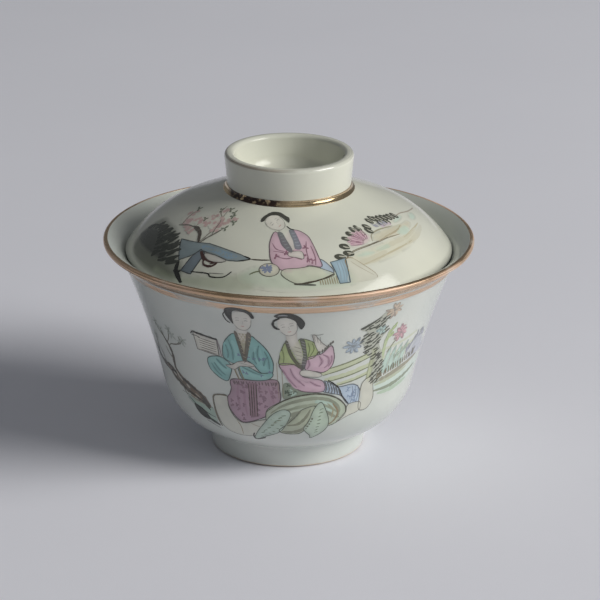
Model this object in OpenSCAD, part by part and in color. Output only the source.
// Gaiwan: a lidded porcelain tea bowl with gilt lines.
// Origin: on the axis, at the standing face of the foot ring. +Z up, millimetres.
// Every section is drawn in the plane of radius (x) and height (y), then turned about the axis.
// The sections are bounded by arcs that run into one another: each is a disc added or taken away.

/* [Bowl] */
// Diameter across the outside of the lip
rim_d = 110; // [106:1:114]
// Thickness of the bowl's wall and lip
wall_t = 1.8; // [1.4:0.1:2.2]
// Thickness of the bowl's floor
floor_t = 3; // [2.4:0.1:4]
// Outside radius of curvature where the floor turns into the wall
heel_r = 20.6; // [20:0.1:21.4]
// Outside radius of curvature of the long, gently opening wall
flank_r = 210; // [195:5:225]

/* [Foot ring] */
// Diameter of the foot ring where it meets the bowl
foot_top_d = 47.8; // [46:0.2:49]
// Diameter of the foot ring at its standing edge
foot_base_d = 45.8; // [44.6:0.2:46.4]
// Height of the foot ring's outside
foot_h = 6.8; // [6:0.1:8]
// Thickness of the foot ring at its standing edge
foot_t = 2.4; // [2:0.1:3]

/* [Lid] */
// Diameter across the lid's edge
lid_d = 97; // [95:0.5:98]
// Thickness of the lid
lid_t = 2; // [1.6:0.1:2.4]
// Free gap between the seated lid and the bowl's flare
seat_gap = 0.15; // [0.1:0.05:0.4]
// Outside radius of curvature of the lid's shoulder
shoulder_r = 35.5; // [34:0.5:37]

/* [Knob ring] */
// Diameter of the ring that serves as the lid's knob, at its top
knob_top_d = 38.2; // [37:0.2:40]
// Diameter of the knob ring at its base
knob_base_d = 36.6; // [36:0.2:37]
// Height of the knob ring
knob_h = 10.4; // [8:0.2:13]
// Thickness of the knob ring at its top
knob_t = 3; // [2.8:0.1:4]

/* [Gilding] */
// Thickness of a gilt line
gilt_t = 0.12; // [0.08:0.02:0.2]

/* [Hidden] */
$fn = 128;

porcelain = [0.80, 0.83, 0.79];
gilt = [0.74, 0.56, 0.40];

// Where two arcs meet, one stands proud of the other by this much, so they cross cleanly
proud = 0.001;
// Longer than anything in a section
far = 150;

// A heading is measured from the vertical: 0 climbs straight up, 90 runs straight outwards
function along(a) = [sin(a), cos(a)];    // unit step in a heading
function outward(a) = [cos(a), -sin(a)]; // unit normal on the outside of a heading

// Headings of the bowl's outside: at the foot, heel to flank, flank to flare, and at the lip
foot_heading = 71.2;
heel_heading = 12.2;
flank_heading = 22.2;
lip_heading = 62;
// Headings, on the flare, of the gilt line's two edges and of the lip gilding's lower edge
line_headings = [29, 41];
gilding_heading = 44;

// Bowl: points on its outside and the centres of its arcs
foot_joint = [foot_top_d / 2 + 0.2, foot_h];
heel_c = foot_joint - heel_r * outward(foot_heading);
heel_top = heel_c + heel_r * outward(heel_heading);
flank_c = heel_top + flank_r * outward(heel_heading);
flank_top = flank_c - flank_r * outward(flank_heading);
lip_end_r = rim_d / 2 - wall_t / 2 * (1 - cos(lip_heading));
flare_r = (lip_end_r - flank_top[0]) / (cos(flank_heading) - cos(lip_heading));
flare_c = flank_top + flare_r * outward(flank_heading);
lip_c = flare_c - (flare_r + wall_t / 2) * outward(lip_heading);
lip_r = wall_t / 2 + 3 * proud;

// Bowl: its flat underside inside the foot, its floor, and the arc from floor to wall
under_z = foot_h - 0.8;
floor_z = under_z + floor_t;
basin_top = heel_top - wall_t * outward(heel_heading);
basin_r = (basin_top[1] - floor_z + proud) / (1 - sin(heel_heading));
basin_c = basin_top - basin_r * outward(heel_heading);

// Foot ring
foot_round = 0.6;
foot_inner_top_r = foot_top_d / 2 - 4;
foot_inner_r = foot_base_d / 2 - foot_t;

// Lid: slopes below the horizontal at the edge and on the crown
edge_slope = 56.3;
crown_slope = 21.6;
crown_flat_r = 17.6;   // the crown's cone starts here, hidden inside the knob ring's wall
crown_blend_r = 12;    // rounds the same corner on the underside
function facing(s) = [sin(s), cos(s)]; // unit normal on the outside of a slope

edge_c_r = lid_d / 2 - lid_t / 2;
edge_reach = flare_r + wall_t + lid_t / 2 + seat_gap;
edge_c = [edge_c_r, flare_c[1] + sqrt(edge_reach ^ 2 - (flare_c[0] - edge_c_r) ^ 2)];
shoulder_c = edge_c - (shoulder_r - lid_t / 2) * facing(edge_slope);
shoulder_top = shoulder_c + shoulder_r * facing(crown_slope);
crown_z = shoulder_top[1] + (shoulder_top[0] - crown_flat_r) * tan(crown_slope);

// Underside of the lid
hollow_z = crown_z - lid_t;
hollow_top = shoulder_c + (shoulder_r - lid_t) * facing(crown_slope);
hollow_corner_r = hollow_top[0] - (hollow_z - hollow_top[1]) / tan(crown_slope);
blend_c = [hollow_corner_r - crown_blend_r * tan(crown_slope / 2), hollow_z - crown_blend_r];

// Knob ring
knob_z = crown_z + knob_h;
knob_round = 1.2;
knob_lip = 1.4; // rounding of the inner side of the top
knob_inner_base_r = 15;
knob_cove = 5; // radius of the cove inside, where wall meets crown
knob_out_c = [knob_top_d / 2 - knob_round, knob_z - knob_round];
knob_in_c = [knob_top_d / 2 - knob_t + knob_lip, knob_z - knob_lip];
knob_base = [knob_base_d / 2, crown_z];
knob_reach = knob_out_c - knob_base;
knob_lean = atan2(knob_reach[0], knob_reach[1]) + asin(knob_round / norm(knob_reach));
line_angles = [16, 74]; // span of the gilt line on the outer rounding of the top

// Gilt collar: a cove in the corner between the knob ring and the crown
collar_r = 1.5;
collar_n = [outward(knob_lean), facing(crown_slope)]; // normals of the wall and the crown
collar_off = [
    collar_n[0] * knob_base + collar_r + gilt_t,
    collar_n[1] * shoulder_top + collar_r + gilt_t
];
collar_det = collar_n[0][0] * collar_n[1][1] - collar_n[0][1] * collar_n[1][0];
collar_c = [
    (collar_off[0] * collar_n[1][1] - collar_n[0][1] * collar_off[1]) / collar_det,
    (collar_n[0][0] * collar_off[1] - collar_off[0] * collar_n[1][0]) / collar_det
];

module disc(c, r) {
    translate(c) circle(r);
}

// Everything further along a heading than a point
module beyond(p, heading) {
    translate(p) rotate(-heading) translate([-far, 0]) square([2 * far, far]);
}

// Everything inside a bowl-shaped outline t inside the bowl's outside, from height z up
module within_bowl(t, z, c, r) {
    difference() {
        union() {
            intersection() {
                disc(c, r);
                translate([0, z - proud]) square([far, c[1]]);
            }
            polygon([
                [0, z], [c[0], z], c, heel_top + 3 * outward(heel_heading), flare_c,
                flare_c - far * outward(lip_heading), [0, 2 * far]
            ]);
        }
        difference() {
            disc(flank_c, flank_r + t + proud);
            beyond(flare_c, flank_heading);
        }
        disc(flare_c, flare_r + t + 2 * proud);
    }
}

module bowl_outside() {
    within_bowl(0, under_z, heel_c, heel_r);
}

module full_bowl_section() {
    difference() {
        bowl_outside();
        within_bowl(wall_t, floor_z, basin_c, basin_r);
    }
    disc(lip_c, lip_r);
}

// The outer skin of the flare, as deep as a gilt line
module flare_skin() {
    disc(flare_c, flare_r + gilt_t + 2 * proud);
}

module rim_gilding_section() {
    difference() {
        intersection() {
            full_bowl_section();
            beyond(flare_c, gilding_heading);
            union() {
                flare_skin();
                beyond(flare_c, lip_heading);
            }
        }
        disc(lip_c, lip_r - gilt_t);
    }
}

module rim_gilt_line_section() {
    difference() {
        intersection() {
            full_bowl_section();
            flare_skin();
            beyond(flare_c, line_headings[0]);
        }
        beyond(flare_c, line_headings[1]);
    }
}

module foot_section() {
    difference() {
        union() {
            polygon([
                [foot_base_d / 2, foot_round], [foot_top_d / 2, foot_h - 0.6],
                foot_joint + [0.1, 0.3], foot_joint + [0, 1.5], [foot_inner_top_r, foot_h + 1],
                [foot_inner_top_r, under_z - 0.6], [foot_inner_r, foot_round],
                [foot_inner_r + foot_round, foot_round], [foot_inner_r + foot_round, 0],
                [foot_base_d / 2 - foot_round, 0], [foot_base_d / 2 - foot_round, foot_round]
            ]);
            disc([foot_base_d / 2 - foot_round, foot_round], foot_round + proud);
            disc([foot_inner_r + foot_round, foot_round], foot_round + proud);
        }
        translate([0, -far]) square([far, far]);
        bowl_outside();
    }
}

module lid_outside() {
    difference() {
        polygon([
            [0, crown_z], [crown_flat_r, crown_z],
            shoulder_top + far * along(90 + crown_slope), [0, shoulder_top[1] - far]
        ]);
        difference() {
            beyond(shoulder_c, 90 + crown_slope);
            disc(shoulder_c, shoulder_r + proud);
        }
    }
}

module lid_hollow() {
    polygon([
        [-1, hollow_z], [blend_c[0], hollow_z], blend_c + crown_blend_r * facing(crown_slope),
        hollow_top, shoulder_c, [-1, 0]
    ]);
    disc(blend_c, crown_blend_r + proud);
    disc(shoulder_c, shoulder_r - lid_t + proud);
}

module lid_section() {
    difference() {
        lid_outside();
        lid_hollow();
        // past the edge's centre, only the rounding of the edge is left
        difference() {
            beyond(shoulder_c, 90 + edge_slope);
            disc(edge_c, lid_t / 2 + 2 * proud);
        }
    }
}

module full_knob_section() {
    difference() {
        union() {
            polygon([
                knob_base - 2 * along(knob_lean), knob_out_c + knob_round * outward(knob_lean),
                knob_out_c, [knob_out_c[0], knob_z], [knob_in_c[0], knob_z], knob_in_c,
                knob_in_c - [knob_lip, 0], [knob_inner_base_r, crown_z + knob_cove],
                [knob_inner_base_r - knob_cove, crown_z], [knob_inner_base_r - knob_cove, crown_z - 1]
            ]);
            disc(knob_out_c, knob_round + proud);
            disc(knob_in_c, knob_lip + proud);
        }
        translate([0, knob_z]) square(far);
        disc([knob_inner_base_r - knob_cove, crown_z + knob_cove], knob_cove);
        lid_outside();
    }
}

module knob_gilt_line_section() {
    difference() {
        intersection() {
            full_knob_section();
            beyond(knob_out_c, -line_angles[0]);
        }
        beyond(knob_out_c, -line_angles[1]);
        disc(knob_out_c, knob_round - gilt_t);
    }
}

module collar_section() {
    depth = collar_r + gilt_t + 0.4;
    difference() {
        polygon([
            collar_c, collar_c - depth * collar_n[0],
            [knob_base[0] - 0.8, crown_z - 1.2], collar_c - depth * collar_n[1]
        ]);
        disc(collar_c, collar_r);
        full_knob_section();
        lid_outside();
    }
}

module bowl_body() {
    color(porcelain) rotate_extrude() difference() {
        full_bowl_section();
        rim_gilding_section();
        rim_gilt_line_section();
    }
}

module foot_ring() {
    color(porcelain) rotate_extrude() foot_section();
}

module rim_gilding() {
    color(gilt) rotate_extrude() rim_gilding_section();
}

module rim_gilt_line() {
    color(gilt) rotate_extrude() rim_gilt_line_section();
}

module lid_dome() {
    color(porcelain) rotate_extrude() lid_section();
}

module knob_ring() {
    color(porcelain) rotate_extrude() difference() {
        full_knob_section();
        knob_gilt_line_section();
    }
}

module collar_gilding() {
    color(gilt) rotate_extrude() collar_section();
}

module knob_gilt_line() {
    color(gilt) rotate_extrude() knob_gilt_line_section();
}

bowl_body();
foot_ring();
rim_gilding();
rim_gilt_line();
lid_dome();
knob_ring();
collar_gilding();
knob_gilt_line();
